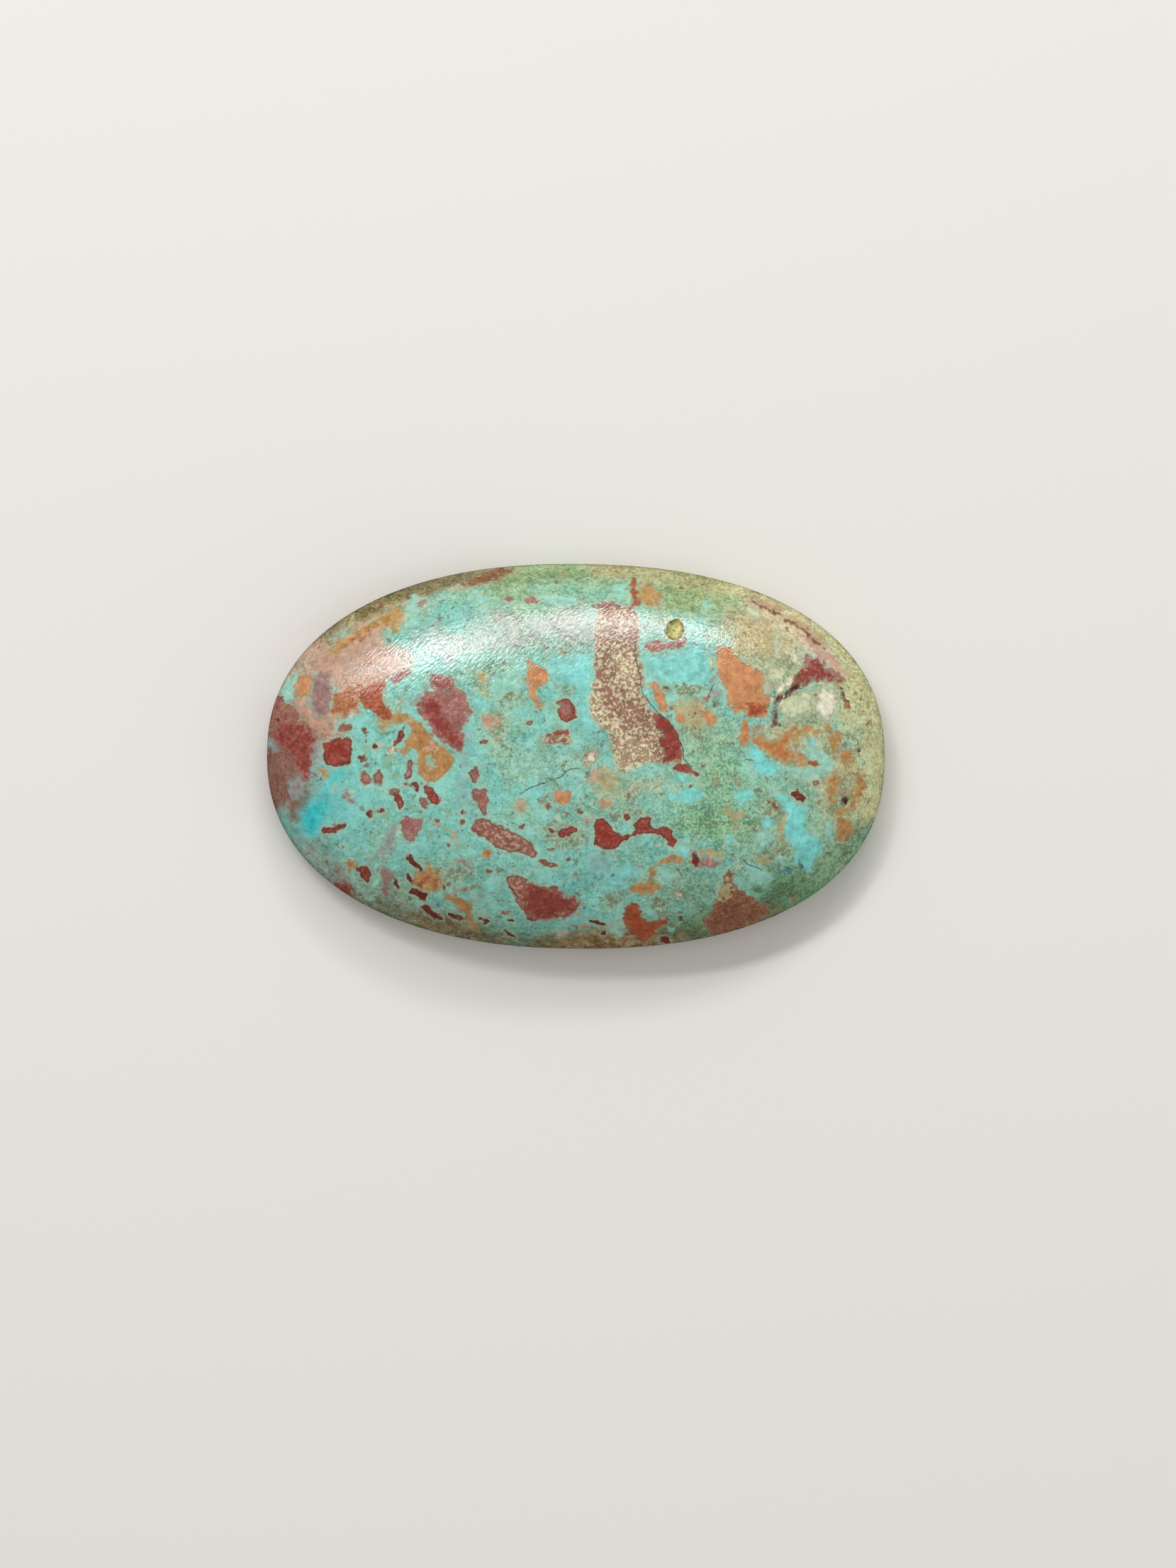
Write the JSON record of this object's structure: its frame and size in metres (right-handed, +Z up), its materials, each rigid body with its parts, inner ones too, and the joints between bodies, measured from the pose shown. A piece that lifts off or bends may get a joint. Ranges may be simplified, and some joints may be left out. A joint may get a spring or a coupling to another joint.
{
  "type": "chrysocolla cabochon",
  "caption": "Polished oval stone with a low dome and a flat back: blue-green chrysocolla with red cuprite, green malachite and orange iron stains, for a setting or display.",
  "frame": {"origin": "on the flat back, below the middle of the outline", "axes": "+X along the stone's length, +Y across its width, +Z up through the top of the dome"},
  "size_m": [0.035, 0.0218, 0.0064],
  "materials": {
    "polished_stone": "polished, with small pits and open fissures in the polish"
  },
  "bodies": {
    "root": {"stone": "polished_stone"}
  },
  "joints": []
}
